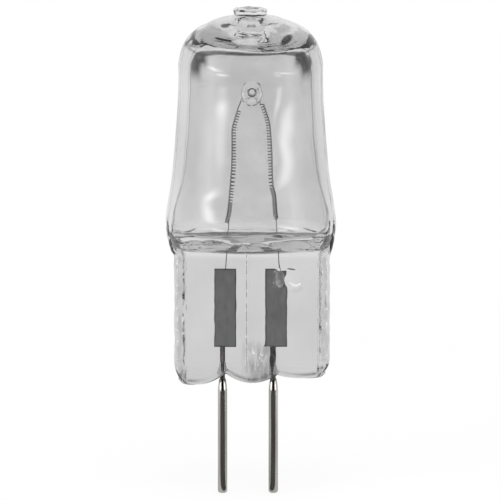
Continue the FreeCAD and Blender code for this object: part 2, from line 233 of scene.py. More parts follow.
# Seal: the flat pressed foot of the glass. A lobe is (across, lowest, radius), a flare
# is (reach, from, to), and a ripple here and below is (height, size, seed).
seal = {
    "centre": bulbAxis + 0.1, "halfWidth": 6.12, "webHalf": 1.25, "railHalf": 1.52, "railWidth": 0.8,
    "railStep": (-0.15, 0.2), "cornerRound": 0.42, "edgeRound": 0.34, "faceFrom": 0.7,
    "stepAcross": 0.13, "stepAngle": 0.034, "cornerCuts": 6, "sideCuts": 12,
    "capRings": 14, "edgeRings": 5, "wallRings": 66, "wallGap": 0.75,
    "leftLobe": (-4.3, 0.67, 2.8), "middleLobe": (0.35, 0.79, 2.9), "rightLobe": (4.4, 1.17, 5.9),
    "lobeBlend": 0.3, "footRound": 0.9, "funnelColumns": 40,
    "funnel": [(0.62, 0.9), (0.56, 1.2), (0.46, 1.5), (0.36, 1.8), (0.29, 2.1), (0.24, 2.4), (0.1, 2.5)],
    "leftFlare": (0.08, 11.0, 11.6), "rightFlare": (0.055, 10.9, 11.7), "railFade": (1.1, 0.3),
    "sideRipple": (0.07, 0.9, 3), "sideInset": 0.02,
    "railRipple": (0.1, 0.55, 8), "faceRipple": (0.02, 1.6, 5),
    "earBulge": 0.3, "earFrom": 10.95, "earTo": 12.05,
    "dentAcross": 3.1, "dentHeight": 9.05, "dentRadius": 1.15, "dentDepth": 0.6,
    "dentLean": 0.6, "dentFade": (-0.4, 1.3), "dentLost": 0.75,
    "seamAcross": -0.11, "seamHalf": 0.08, "seamDepth": 0.16, "seamFoot": 2.4, "seamRise": 0.3,
    "bubbleLeast": 0.1, "bubbleMean": 0.55, "bubbleSwing": 0.9, "bubblePitch": 3.3,
    "foldDepth": 0.22, "foldAcross": 1.0, "foldSides": (0.7, 1.3), "foldTop": (3.4, 4.4),
    "foldEdge": (0.5, 0.8, 13), "foldMean": 0.3, "creases": (1, 0.42, 11), "creaseStretch": 0.35,
}

# The glass bridge, pinched together from a pit in front and one behind
bridge = {
    "across": 0.1, "height": 23.92, "radius": 0.52, "slope": -0.12,
    "rod": [(0.52, 0.0), (0.52, 4.0), (0.55, 4.35), (0.64, 4.6), (0.8, 4.74), (1.05, 4.83), (1.4, 4.94)],
    "pit": [(0.03, 2.4), (0.28, 2.41), (0.34, 2.5), (0.35, 2.8), (0.36, 4.6), (0.4, 5.1), (0.54, 5.42),
            (0.8, 5.62), (1.15, 5.78), (1.6, 5.97)],
    "columns": 40, "spacing": 0.12,
}
bridgeCentre = Vector((bulbAxis + bridge["across"], 0, bridge["height"]))


# Materials

def newMaterial(name):
    material = bpy.data.materials.new(name)
    material.use_nodes = True
    tree = material.node_tree
    return material, tree, tree.nodes["Principled BSDF"]


def mathOf(tree, operation, first, second):
    node = tree.nodes.new("ShaderNodeMath")
    node.operation = operation
    for place, value in enumerate((first, second)):
        if isinstance(value, (int, float)):
            node.inputs[place].default_value = value
        else:
            tree.links.new(value, node.inputs[place])
    return node.outputs[0]


def product(tree, first, *others):
    for other in others:
        first = mathOf(tree, "MULTIPLY", first, other)
    return first


def squareSum(tree, *values):
    total = 0
    for value in values:
        total = mathOf(tree, "ADD", total, mathOf(tree, "POWER", value, 2))
    return total


def vectorOf(tree, operation, first, second=None):
    node = tree.nodes.new("ShaderNodeVectorMath")
    node.operation = operation
    tree.links.new(first, node.inputs[0])
    if second is not None:
        node.inputs[1].default_value = second
    return node.outputs["Value" if operation == "LENGTH" else "Vector"]


def partsOf(tree, vector):
    parts = tree.nodes.new("ShaderNodeSeparateXYZ")
    tree.links.new(vector, parts.inputs["Vector"])
    return [parts.outputs[name] for name in "XYZ"]


# The piece's own coordinates: across, inward and up.
def placeOn(tree):
    return partsOf(tree, tree.nodes.new("ShaderNodeTexCoord").outputs["Object"])


# A number that goes from one value to another while its source runs between two ends.
def rampOf(tree, source, start, end, first, last, curve="SMOOTHSTEP"):
    ramp = tree.nodes.new("ShaderNodeMapRange")
    ramp.interpolation_type = curve
    ramp.inputs["From Min"].default_value = start
    ramp.inputs["From Max"].default_value = end
    ramp.inputs["To Min"].default_value = first
    ramp.inputs["To Max"].default_value = last
    tree.links.new(source, ramp.inputs["Value"])
    return ramp.outputs["Result"]


# The same with its two ends in millimetres.
def rampAlong(tree, source, start, end, first, last):
    return rampOf(tree, source, start * mm, end * mm, first, last)


# One between its rise and its fall along a coordinate, and nothing outside.
def bandOf(tree, source, rise, fall):
    return product(tree, rampAlong(tree, source, *rise, 0, 1), rampAlong(tree, source, *fall, 1, 0))


# How far a coordinate lies from a place, to either side.
def farFrom(tree, source, place):
    return mathOf(tree, "ABSOLUTE", mathOf(tree, "SUBTRACT", source, place * mm), 0)


# Noise in the piece's own coordinates, with its own scale in each direction.
def grainNoise(tree, scales, detail):
    place = tree.nodes.new("ShaderNodeTexCoord")
    size = tree.nodes.new("ShaderNodeMapping")
    size.inputs["Scale"].default_value = scales
    grain = tree.nodes.new("ShaderNodeTexNoise")
    grain.inputs["Scale"].default_value = 1
    grain.inputs["Detail"].default_value = detail
    tree.links.new(place.outputs["Object"], size.inputs["Vector"])
    tree.links.new(size.outputs["Vector"], grain.inputs["Vector"])
    return grain.outputs["Fac"]


# Streaks given as their size across, inward and up, their detail and the ramp's ends.
def streaks(tree, across, inward, up, detail, low, high, least=0):
    grain = grainNoise(tree, [1 / (mm * size) for size in (across, inward, up)], detail)
    return rampOf(tree, grain, low, high, least, 1)


def twoTones(tree, grain, low, high):
    ramp = tree.nodes.new("ShaderNodeValToRGB")
    for element, position, tone in zip(ramp.color_ramp.elements, (0.3, 0.7), (low, high)):
        element.position = position
        element.color = (*tone, 1)
    tree.links.new(grain, ramp.inputs["Fac"])
    return ramp.outputs["Color"]


def tintBy(tree, colour, share, tone):
    tint = tree.nodes.new("ShaderNodeMix")
    tint.data_type = "RGBA"
    tint.inputs["B"].default_value = (tone, tone, tone, 1)
    tree.links.new(share, tint.inputs["Factor"])
    tree.links.new(colour, tint.inputs["A"])
    return tint.outputs["Result"]


# The glass's grey comes from its depth, and from what is marked on it. A fade is where
# a mark starts and ends to change, and a band is the fades of its rise and its fall.
quartzLook = {
    "index": 1.46, "depthTone": 0.5, "depthPerMetre": 160,
    "clearTone": 0.84, "cloudTone": 0.745, "cloudScale": 260, "cloudDetail": 3,
    "hazeFade": (0.55, 0.9), "haze": 0.05, "footRough": 0.3, "footRoughFade": (1.5, 2.5),
    "crownFade": (27.9, 28.5), "crownShare": 0.95,
    "flareBand": ((10.6, 11.0), (12.5, 13.3)), "flareShare": 0.55,
    "edgeFade": (0.78, 0.98), "edgeTone": 0.02,
    "neckBand": ((10.6, 11.0), (15.8, 16.4)), "neckEdges": 0.15,
    "bridgeFade": (1.33, 1.9), "bridgeEdges": 0.1, "footFade": (2.3, 2.8), "footEdges": 0.4,
    "hollowHeights": (14.5, 19), "hollowRadii": (6.25, 5.15), "hollowSoft": 0.1,
    "wallLineFade": (0.252, 0.266), "wallLineTop": (26, 26.6), "wallLineTone": 0.02,
    "cornerFade": (2, 4.2), "cornerDrop": 0.35, "cornerRise": (27.17, 27.27), "cornerFall": (27.52, 27.62),
    "cornerFront": (-1.0, -0.4), "cornerTone": 0.03,
    "railSides": (5.35, 5.6), "railTop": (11.4, 12.2), "railGrain": (0.3, 0.6, 1.1, 4, 0.45, 0.62),
    "railTone": 0.6,
    "lineFade": (0.0175, 0.035), "lineBand": ((2.3, 2.4), (11.0, 11.2)), "lineFront": (-0.9, -0.8),
    "seamDots": (5, 5, 0.22, 1, 0.4, 0.5), "seamTone": 0.12, "lineDots": (5, 5, 0.22, 1, 0.2, 0.6),
    "pressLines": [(0.14, 0.7), (-3.12, 0.8), (-5.25, 0.75), (5.6, 0.55), (5.95, 0.75)],
    "foldSides": ((-0.7, 0.1), (1.7, 2.5)), "foldTop": (3.2, 4.4),
    "foldGrain": (0.45, 3, 2.2, 3, 0.3, 0.62), "foldTone": 0.42,
    "shoulderSides": (3.3, 3.8), "shoulderDepth": (2.8, 3.6), "shoulderBand": ((24.8, 26.0), (27.7, 28.1)),
    "shoulderSlant": (0.05, 0.13), "shoulderGrain": (0.22, 0.6, 0.3, 3, 0.22, 0.4), "shoulderTone": 0.0,
    "blotFade": (0.35, 1),
}


# The hollow's side of the glass, which lies nearer the bulb's axis than its outside.
def hollowSide(tree, place):
    across, inward, up = place
    off = mathOf(tree, "SUBTRACT", across, bulbAxis * mm)
    far = mathOf(tree, "POWER", squareSum(tree, off, inward), 0.5)
    wide, narrow = quartzLook["hollowRadii"]
    limit = rampAlong(tree, up, *quartzLook["hollowHeights"], wide * mm, narrow * mm)
    return rampAlong(tree, mathOf(tree, "SUBTRACT", far, limit), 0, quartzLook["hollowSoft"], 1, 0)


# Painted shade: the thin dark line at the hollow's side, where light leaves the wall at a grazing angle.
def wallLineShare(tree, place, facing, hollow):
    within = tree.nodes.new("ShaderNodeNewGeometry").outputs["Backfacing"]
    line = rampOf(tree, facing, *quartzLook["wallLineFade"], 0, 1)
    under = rampAlong(tree, place[2], *quartzLook["wallLineTop"], 1, 0)
    return product(tree, line, within, hollow, under)


# Painted shade: the dark line along the front of the hollow's ceiling, wider at its two ends.
def cornerShare(tree, place, hollow):
    across, inward, up = place
    drop = quartzLook["cornerDrop"] * mm
    lift = rampAlong(tree, farFrom(tree, across, bulbAxis), *quartzLook["cornerFade"], 0, drop)
    rise = rampAlong(tree, mathOf(tree, "ADD", up, lift), *quartzLook["cornerRise"], 0, 1)
    fall = rampAlong(tree, up, *quartzLook["cornerFall"], 1, 0)
    front = rampAlong(tree, inward, *quartzLook["cornerFront"], 1, 0)
    return product(tree, rise, fall, hollow, front)


# Painted shade in uneven streaks along the seal's two rails.
def railShare(tree, place):
    onRail = rampAlong(tree, farFrom(tree, place[0], seal["centre"]), *quartzLook["railSides"], 0, 1)
    under = rampAlong(tree, place[2], *quartzLook["railTop"], 1, 0)
    return product(tree, onRail, under, streaks(tree, *quartzLook["railGrain"]))


# An upright line on the seal's front, such as the row of tiny bubbles along the seam
# where the two halves of the press met.
def lineShare(tree, place, across, dots):
    onLine = rampAlong(tree, farFrom(tree, place[0], across), *quartzLook["lineFade"], 1, 0)
    front = rampAlong(tree, place[1], *quartzLook["lineFront"], 1, 0)
    return product(tree, onLine, front, bandOf(tree, place[2], *quartzLook["lineBand"]), streaks(tree, *dots))


# Soft upright streaks where the glass folded between the pins.
def foldShare(tree, place):
    under = rampAlong(tree, place[2], *quartzLook["foldTop"], 1, 0)
    sides = bandOf(tree, place[0], *quartzLook["foldSides"])
    return product(tree, sides, under, streaks(tree, *quartzLook["foldGrain"]))


# Painted shade, mottled, at the two shoulders of the hollow, left off where the glass is seen straight on.
def shoulderShare(tree, place, facing, hollow):
    sides = rampAlong(tree, farFrom(tree, place[0], bulbAxis), *quartzLook["shoulderSides"], 0, 1)
    depth = rampAlong(tree, farFrom(tree, place[1], 0), *quartzLook["shoulderDepth"], 1, 0)
    height = bandOf(tree, place[2], *quartzLook["shoulderBand"])
    slant = rampOf(tree, facing, *quartzLook["shoulderSlant"], 0, 1)
    return product(tree, sides, depth, height, slant, hollow, streaks(tree, *quartzLook["shoulderGrain"]))


# A small dark blot in the glass: its centre, its half sizes, its lean and its tone.
blots = {
    "domeRight": ((2.98, -3.6, 28.45), (0.85, 1.2, 0.42), 0.6, 0.01),
    "domeLeft": ((-1.8, -2.3, 29.38), (0.48, 0.8, 0.18), 0.0, 0.02),
    "stubRight": ((1.3, -3.0, 28.95), (0.2, 0.5, 0.24), 0.5, 0.03),
    "stubLeft": ((-0.75, -3.2, 28.95), (0.2, 0.4, 0.16), -0.4, 0.05),
    "stubMiddle": ((-0.1, -3.6, 28.7), (0.16, 0.3, 0.12), 0.0, 0.03),
    # dentHook and dentShade are painted shade, along the dent's rim and under the dent.
    "dentHook": ((3.4, -1.2, 9.93), (0.42, 0.4, 0.09), -0.1, 0.05),
    "dentShade": ((3.85, -1.2, 8.3), (0.6, 0.4, 0.3), 0.2, 0.7),
}


def blotShare(tree, place, centre, halfSizes, lean):
    offsets = [mathOf(tree, "SUBTRACT", part, middle * mm) for part, middle in zip(place, centre)]
    offsets[2] = mathOf(tree, "SUBTRACT", offsets[2], product(tree, offsets[0], lean))
    shares = [mathOf(tree, "DIVIDE", offset, half * mm) for offset, half in zip(offsets, halfSizes)]
    return rampOf(tree, squareSum(tree, *shares), *quartzLook["blotFade"], 1, 0)


# Painted shade where the glass is seen at a grazing angle, less of it at the neck, round the bridge and at
# the foot.
def edgeWeight(tree, place):
    across, inward, up = place
    neck = product(tree, bandOf(tree, up, *quartzLook["neckBand"]), 1 - quartzLook["neckEdges"])
    off = mathOf(tree, "SUBTRACT", across, bridgeCentre.x * mm)
    over = mathOf(tree, "SUBTRACT", up, bridgeCentre.z * mm)
    far = mathOf(tree, "POWER", squareSum(tree, off, over), 0.5)
    ring = rampAlong(tree, far, *quartzLook["bridgeFade"], quartzLook["bridgeEdges"], 1)
    foot = rampAlong(tree, up, *quartzLook["footFade"], quartzLook["footEdges"], 1)
    return product(tree, mathOf(tree, "SUBTRACT", 1, neck), ring, foot)


def quartzMaterial():
    material, tree, shader = newMaterial("ClearQuartz")
    shader.inputs["Transmission Weight"].default_value = 1
    shader.inputs["IOR"].default_value = quartzLook["index"]
    place = placeOn(tree)
    up = place[2]
    cloud = grainNoise(tree, [quartzLook["cloudScale"]] * 3, quartzLook["cloudDetail"])
    colour = twoTones(tree, cloud, [quartzLook["cloudTone"]] * 3, [quartzLook["clearTone"]] * 3)
    edge = tree.nodes.new("ShaderNodeLayerWeight")
    edge.inputs["Blend"].default_value = 0.5
    facing = edge.outputs["Facing"]
    hollow = hollowSide(tree, place)
    # Painted light: the glass's tint is lifted towards white at the crown and along the neck's flare band.
    crown = rampAlong(tree, up, *quartzLook["crownFade"], 0, quartzLook["crownShare"])
    flare = product(tree, bandOf(tree, up, *quartzLook["flareBand"]), quartzLook["flareShare"])
    rim = product(tree, rampOf(tree, facing, *quartzLook["edgeFade"], 0, 1), edgeWeight(tree, place))
    # Among these marks the crown and flare are painted light; the grazing rim, wall line, ceiling line, rail
    # streaks, shoulder mottle and the dent's two blots are painted shade.
    marks = [
        (mathOf(tree, "MAXIMUM", crown, flare), 1),
        (rim, quartzLook["edgeTone"]),
        (wallLineShare(tree, place, facing, hollow), quartzLook["wallLineTone"]),
        (cornerShare(tree, place, hollow), quartzLook["cornerTone"]),
        (railShare(tree, place), quartzLook["railTone"]),
        (lineShare(tree, place, seal["seamAcross"], quartzLook["seamDots"]), quartzLook["seamTone"]),
    ]
    for across, tone in quartzLook["pressLines"]:
        marks.append((lineShare(tree, place, across, quartzLook["lineDots"]), tone))
    marks.append((foldShare(tree, place), quartzLook["foldTone"]))
    marks.append((shoulderShare(tree, place, facing, hollow), quartzLook["shoulderTone"]))
    for centre, halfSizes, lean, tone in blots.values():
        marks.append((blotShare(tree, place, centre, halfSizes, lean), tone))
    for share, tone in marks:
        colour = tintBy(tree, colour, share, tone)
    tree.links.new(colour, shader.inputs["Base Color"])
    haze = rampOf(tree, cloud, *quartzLook["hazeFade"], 0, quartzLook["haze"], "LINEAR")
    foot = rampAlong(tree, up, *quartzLook["footRoughFade"], quartzLook["footRough"], 0)
    tree.links.new(mathOf(tree, "MAXIMUM", haze, foot), shader.inputs["Roughness"])
    depth = tree.nodes.new("ShaderNodeVolumeAbsorption")
    depth.inputs["Color"].default_value = (*[quartzLook["depthTone"]] * 3, 1)
    depth.inputs["Density"].default_value = quartzLook["depthPerMetre"]
    tree.links.new(depth.outputs["Volume"], tree.nodes["Material Output"].inputs["Volume"])
    return material


# Each metal: its darker and lighter colour, roughness, grains to a metre, their stretch
# and their height.
metals = {
    "DrawnTungsten": ((0.16, 0.16, 0.16), (0.34, 0.34, 0.35), 0.4, 9000, (1, 1, 1), 0.01),
    "RolledMolybdenum": ((0.28, 0.28, 0.285), (0.48, 0.48, 0.485), 0.5, 1500, (1, 1, 0.5), 0.02),
    "OxidisedMolybdenum": ((0.05, 0.05, 0.05), (0.36, 0.34, 0.33), 0.4, 3200, (1, 1, 0.6), 0.02),
    "BrightNickel": ((0.33, 0.315, 0.3), (0.52, 0.51, 0.49), 0.14, 1500, (3, 3, 0.15), 0.004),
}
metalGrain = {"detail": 6, "smoothest": 0.7, "roughest": 1.4, "bump": 0.6}


def metalMaterial(name):
    low, high, roughness, scale, stretch, grainHeight = metals[name]
    material, tree, shader = newMaterial(name)
    shader.inputs["Metallic"].default_value = 1
    grain = grainNoise(tree, [scale * part for part in stretch], metalGrain["detail"])
    tree.links.new(twoTones(tree, grain, low, high), shader.inputs["Base Color"])
    rough = rampOf(tree, grain, 0, 1, roughness * metalGrain["smoothest"],
                   roughness * metalGrain["roughest"], "LINEAR")
    tree.links.new(rough, shader.inputs["Roughness"])
    bump = tree.nodes.new("ShaderNodeBump")
    bump.inputs["Strength"].default_value = metalGrain["bump"]
    bump.inputs["Distance"].default_value = grainHeight * mm
    tree.links.new(grain, bump.inputs["Height"])
    tree.links.new(bump.outputs["Normal"], shader.inputs["Normal"])
    return material


# Painted reflection of the dent on the right foil's corner: a lighter patch with a bright rim.
dentReflection = {
    "across": 2.4, "height": 9.1, "halfAcross": 0.44, "halfUp": 0.86, "tone": 0.66, "rimTone": 0.95,
    "patchFade": (0.7, 0.95), "rimRise": (0.55, 0.85), "rimFall": (0.95, 1.25),
    "rimGrain": (0.2, 1, 0.25, 2, 0.35, 0.55), "rimLeast": 0.2,
}


def paintDentReflection(material):
    tree = material.node_tree
    shader = tree.nodes["Principled BSDF"]
    colour = shader.inputs["Base Color"].links[0].from_socket
    across, inward, up = placeOn(tree)
    across = mathOf(tree, "SUBTRACT", across, dentReflection["across"] * mm)
    up = mathOf(tree, "SUBTRACT", up, dentReflection["height"] * mm)
    across = mathOf(tree, "DIVIDE", across, dentReflection["halfAcross"] * mm)
    up = mathOf(tree, "DIVIDE", up, dentReflection["halfUp"] * mm)
    total = squareSum(tree, across, up)
    inside = rampOf(tree, total, *dentReflection["patchFade"], 1, 0)
    rise = rampOf(tree, total, *dentReflection["rimRise"], 0, 1)
    fall = rampOf(tree, total, *dentReflection["rimFall"], 1, 0)
    grain = streaks(tree, *dentReflection["rimGrain"], dentReflection["rimLeast"])
    colour = tintBy(tree, colour, inside, dentReflection["tone"])
    colour = tintBy(tree, colour, product(tree, rise, fall, grain), dentReflection["rimTone"])
    tree.links.new(colour, shader.inputs["Base Color"])


quartz = quartzMaterial()
tungsten = metalMaterial("DrawnTungsten")
foilMetal = metalMaterial("RolledMolybdenum")
# Painted reflection of the dent on the right foil's corner.
paintDentReflection(foilMetal)
leadMetal = metalMaterial("OxidisedMolybdenum")
nickel = metalMaterial("BrightNickel")
print("materials made")


# The foot's height under a place across the seal: three lobes that meet at the pins.
def footHeight(across):
    heights = []
    for lobe in ("leftLobe", "middleLobe", "rightLobe"):
        middle, lowest, radius = seal[lobe]
        heights.append(lowest + (across - middle) ** 2 / (2 * radius))
    height = softMin(softMin(heights[0], heights[1], seal["lobeBlend"]), heights[2], seal["lobeBlend"])
    past = abs(across - seal["centre"]) - (seal["halfWidth"] - seal["footRound"])
    if past > 0:
        past = min(past, seal["footRound"] * 0.999)
        height += seal["footRound"] - math.sqrt(seal["footRound"] ** 2 - past ** 2)
    return height


def sealHalf(across):
    inner = seal["halfWidth"] - seal["railWidth"]
    start, end = seal["railStep"]
    share = ease(inner + start, inner + end, abs(across - seal["centre"]))
    return mix(seal["webHalf"], seal["railHalf"], share)


# The seal's outline seen from above, as (across, depth) from its front left corner.
def sealColumns():
    centre = seal["centre"]
    turn = seal["halfWidth"] - seal["cornerRound"]
    half = [0.0]
    while half[-1] < turn:
        spread = seal["stepAngle"] * (half[-1] ** 2 + seal["webHalf"] ** 2) / seal["webHalf"]
        half.append(half[-1] + min(seal["stepAcross"], spread))
    half[-1] = turn
    front = [-value for value in half[:0:-1]] + half
    columns = [(centre + value, -sealHalf(centre + value)) for value in front]
    corner = seal["railHalf"] - seal["cornerRound"]
    right = []
    for cut in range(1, seal["cornerCuts"] + 1):
        angle = math.pi / 2 * cut / seal["cornerCuts"]
        right.append((centre + turn + math.sin(angle) * seal["cornerRound"],
                      -corner - math.cos(angle) * seal["cornerRound"]))
    side = []
    for cut in range(1, seal["sideCuts"]):
        side.append((centre + seal["halfWidth"], corner * (2 * cut / seal["sideCuts"] - 1)))
    columns += right + side
    columns += [(across, -depth) for across, depth in right[::-1]]
    back = [(2 * centre - across, -depth) for across, depth in columns]
    return columns + back


# Moves a point of the seal's outline by what the pressing left: flared ears,
# a dent, a seam and uneven rails.
def pressed(across, depth, height):
    side = 1 if across > seal["centre"] else -1
    face = -1 if depth < 0 else 1
    out = abs(across - seal["centre"])
    reach, low, high = seal["rightFlare"] if side > 0 else seal["leftFlare"]
    place = Vector((across, depth, height))
    start, end = seal["railFade"]
    rail = ease(seal["halfWidth"] - start, seal["halfWidth"] - end, out)
    flare = reach * ease(low, high, height)
    across += side * rail * (flare + ripple(place, *seal["sideRipple"]) - seal["sideInset"])
    depth += face * rail * ripple(place, *seal["railRipple"])
    depth += face * rail * seal["earBulge"] * ease(seal["earFrom"], seal["earTo"], height)
    depth += face * ripple(place, *seal["faceRipple"])
    if face < 0:
        toRight, toTop = across - seal["dentAcross"], height - seal["dentHeight"]
        far = min(1, math.hypot(toRight, toTop) / seal["dentRadius"])
        sharp = 1 - seal["dentLost"] * ease(*seal["dentFade"], toRight + toTop * seal["dentLean"])
        depth += seal["dentDepth"] * (1 - far * far) * sharp
        groove = 1 - ease(0, seal["seamHalf"], abs(across - seal["seamAcross"]))
        bubbles = noise.noise(Vector((0, 0, height * seal["bubblePitch"])))
        groove *= max(seal["bubbleLeast"], seal["bubbleMean"] + seal["bubbleSwing"] * bubbles)
        above = ease(seal["seamFoot"], seal["seamFoot"] + seal["seamRise"], height)
        depth += seal["seamDepth"] * groove * above
    fold = 1 - ease(*seal["foldSides"], abs(across - seal["foldAcross"]))
    fold *= 1 - ease(*seal["foldTop"], height + ripple(place, *seal["foldEdge"]))
    creases = ripple(Vector((across, 0, height * seal["creaseStretch"])), *seal["creases"])
    depth -= face * seal["foldDepth"] * fold * (seal["foldMean"] + creases)
    return across, depth


# Bulb: blown over the seal. The knots are (radius, height).
bulb = {
    "wall": [
        (0.0, 11.42), (2.6, 11.6), (4.6, 11.88), (5.75, 12.3), (6.42, 12.85), (6.66, 13.5), (6.64, 14.2),
        (6.48, 15.3), (6.24, 16.7), (6.06, 18.4), (5.91, 20.3), (5.78, 22.0), (5.69, 23.5), (5.655, 25.0),
        (5.645, 26.2), (5.36, 27.4), (4.85, 28.25), (4.15, 28.85), (3.2, 29.32), (2.2, 29.66), (1.6, 29.8),
    ],
    "stub": [
        (1.32, 29.92), (1.26, 30.05), (1.32, 30.2), (1.35, 30.3), (1.25, 30.39), (1.05, 30.41),
        (0.8, 30.36), (0.5, 30.3), (0.06, 30.27),
    ],
    "spacing": 0.19, "neckRound": 0.6, "sealEnds": (13.6, 14.6), "sealTop": 12.6, "blend": 0.8,
    "sideDrop": 0.85, "sideFoot": 11.35, "sideFade": (12.4, 13.6), "rippleFade": (12.2, 13.5),
    "waves": (0.012, 3.0, 29), "drawn": (0.003, 0.25, 23),
    "domeFade": (27.6, 29.0), "domeInside": (1.4, 2.2), "pleats": (0.012, 0.42, 17), "rings": (0.05, 1, 89),
    "stubFade": (29.85, 30.0), "stubRipple": (0.06, 0.5, 31),
    "neckRings": 0.016, "neckPitch": 0.3, "neckRise": (12.1, 12.4), "neckFall": (13.5, 13.9), "neckUneven": 3,
}


# The bulb's underside hangs lower at the seal's two ends than in front and behind.
def loweredBy(angle, height):
    fade = 1 - ease(*bulb["sideFade"], height)
    return math.cos(angle) ** 2 * bulb["sideDrop"] * fade * max(0, height - bulb["sideFoot"])


def wallRipple(place, angle, radius, height):
    dome = ripple(turned(angle, 3.2, height * 0.15), *bulb["pleats"])
    dome += ripple(turned(angle, 0.6, radius * 1.5), *bulb["rings"])
    dome *= ease(*bulb["domeFade"], height) * ease(*bulb["domeInside"], radius)
    stub = ease(*bulb["stubFade"], height) * ripple(place, *bulb["stubRipple"])
    drawn = ripple(turned(angle, 4, height * 0.03), *bulb["drawn"])
    return dome + ripple(place, *bulb["waves"]) + drawn + stub


# Fine rings round the neck, where the bulb was rolled down on the seal.
def neckRipple(angle, height):
    onNeck = ease(*bulb["neckRise"], height) * (1 - ease(*bulb["neckFall"], height))
    uneven = bulb["neckUneven"] * noise.noise(turned(angle, 1.5, height * 0.6))
    return bulb["neckRings"] * onNeck * math.sin(2 * math.pi * height / bulb["neckPitch"] + uneven)


def outerGlass():
    columns = sealColumns()
    count = len(columns)
    angles = [math.atan2(depth, across - bulbAxis) for across, depth in columns]
    line = smoothLine(bulb["wall"] + bulb["stub"], bulb["spacing"])
    normals = lineNormals(line)
    neckRound, edgeRound, centre = bulb["neckRound"], seal["edgeRound"], seal["centre"]
    points = [Vector((centre, 0, footHeight(centre)))]

    # the foot, from its middle out to where its edge starts to turn
    for ring in range(1, seal["capRings"] + 1):
        share = ring / seal["capRings"]
        for across, depth in columns:
            inset = 1 - edgeRound / math.hypot(across - centre, depth)
            placeAcross = centre + (across - centre) * share * inset
            onFace = abs(depth) > seal["faceFrom"]
            placeDepth = depth * share * (1 - edgeRound / abs(depth) if onFace else inset)
            points.append(Vector((placeAcross, placeDepth, footHeight(placeAcross))))

    # the seal's walls, up to the neck, the edge first
    wallTop = line[0].y - neckRound - seal["wallGap"]
    wallRings, edgeRings = seal["wallRings"], seal["edgeRings"]
    for ring in range(wallRings + edgeRings):
        for across, depth in columns:
            foot = footHeight(across)
            if ring < edgeRings:
                angle = math.pi / 2 * ring / edgeRings
                inset = edgeRound * (1 - math.sin(angle))
                height = foot + edgeRound * (1 - math.cos(angle))
            else:
                inset = 0
                height = mix(foot + edgeRound, wallTop, (ring - edgeRings) / (wallRings - 1))
            out = math.hypot(across - centre, depth)
            placeAcross = centre + (across - centre) * (1 - inset / out)
            onFace = abs(depth) > seal["faceFrom"]
            placeDepth = depth * (1 - inset / abs(depth) if onFace else 1 - inset / out)
            placeAcross, placeDepth = pressed(placeAcross, placeDepth, height)
            points.append(Vector((placeAcross, placeDepth, height)))

    # the neck and the bulb, ring by ring along the turned wall
    for (radius, height), normal in zip(line, normals):
        fade = 1 - ease(*bulb["sealEnds"], height)
        for angle, (across, depth) in zip(angles, columns):
            reach = radius - math.hypot(across - bulbAxis, depth) * fade
            onSeal = reach < neckRound and height < bulb["sealTop"]
            turn = math.pi / 2 * max(0, (reach + neckRound) / (2 * neckRound))
            placeHeight = height - loweredBy(angle, height)
            if onSeal:
                placeHeight -= neckRound * (1 - math.sin(turn)) - 0.1 * min(0, reach + neckRound)
            sealAcross, sealDepth = pressed(across, depth, placeHeight)
            sealRadius = math.hypot(sealAcross - bulbAxis, sealDepth) * fade
            if onSeal:
                placeRadius = sealRadius + neckRound * (1 - math.cos(turn))
            else:
                placeRadius = softMax(radius, sealRadius, bulb["blend"])
            place = turned(angle, placeRadius, placeHeight)
            move = wallRipple(place, angle, radius, height) * ease(*bulb["rippleFade"], height)
            move += neckRipple(angle, height)
            points.append(place + turned(angle, normal.x, normal.y) * move + Vector((bulbAxis, 0, 0)))
    points.append(Vector((bulbAxis, 0, line[-1].y)))

    rings = seal["capRings"] + wallRings + edgeRings + len(line)
    return makeMesh("QuartzEnvelope", points, closedFaces(len(points), rings, count))


# The hollow in the bulb, with the same kind of knots
cavity = {
    "wall": [
        (0.05, 12.02), (2.2, 12.0), (3.6, 12.04), (4.6, 12.2), (5.4, 12.58), (5.92, 13.15), (6.1, 13.8),
        (6.04, 14.4), (5.9, 15.0), (5.7, 15.7), (5.43, 16.7), (5.18, 18.0), (5.02, 20.0), (4.9, 22.0),
        (4.8, 24.0), (4.77, 25.4), (4.7, 26.3), (4.45, 27.05), (3.95, 27.5), (3.2, 27.68), (2.3, 27.72),
        (1.5, 27.8), (1.12, 28.0), (1.0, 28.35), (0.86, 28.66), (0.55, 28.88), (0.04, 28.95),
    ],
    "spacing": 0.17, "columns": 168,
    "wallWaves": (0.012, 2.2, 41), "drawn": (0.003, 0.3, 43),
    "ceilingWaves": (0.004, 0.9, 47), "ceilingFade": (26.6, 27.6),
    "ceilingRings": (0.12, 1.0, 97), "ringFade": (27.3, 27.6),
    "shoulderWaves": (0.02, 0.5, 53), "shoulderRise": (25.6, 26.6), "shoulderFall": (27.2, 27.6),
    "shoulderSides": (3.2, 4.2),
    "floorWaves": (0.03, 1.0, 59), "floorRings": (0.045, 1.0, 79), "floorFade": (12.6, 14.4),
    "floorDrop": 0.5, "dropOut": (3.8, 5.4), "dropUp": (13.2, 14.8), "troughRise": 0.25, "troughHalf": 2.4,
}


def cavityRipple(spot, angle, radius, height, onFloor):
    upright = Vector((spot.x, spot.y, height * 0.04))
    ring = ripple(turned(angle, 0.7, radius * 1.3), *cavity["ceilingRings"])
    move = ripple(spot, *cavity["wallWaves"]) + ripple(upright, *cavity["drawn"])
    move += ease(*cavity["ceilingFade"], height) * ripple(spot, *cavity["ceilingWaves"])
    move += ease(*cavity["ringFade"], height) * ring
    shoulder = ease(*cavity["shoulderRise"], height) * (1 - ease(*cavity["shoulderFall"], height))
    shoulder *= ease(*cavity["shoulderSides"], abs(spot.x))
    move += shoulder * ripple(spot, *cavity["shoulderWaves"])
    move += onFloor * ripple(spot, *cavity["floorWaves"])
    arc = turned(angle, 1.4, (radius - height * 2) * 2.2)
    return move + onFloor * ripple(arc, *cavity["floorRings"])


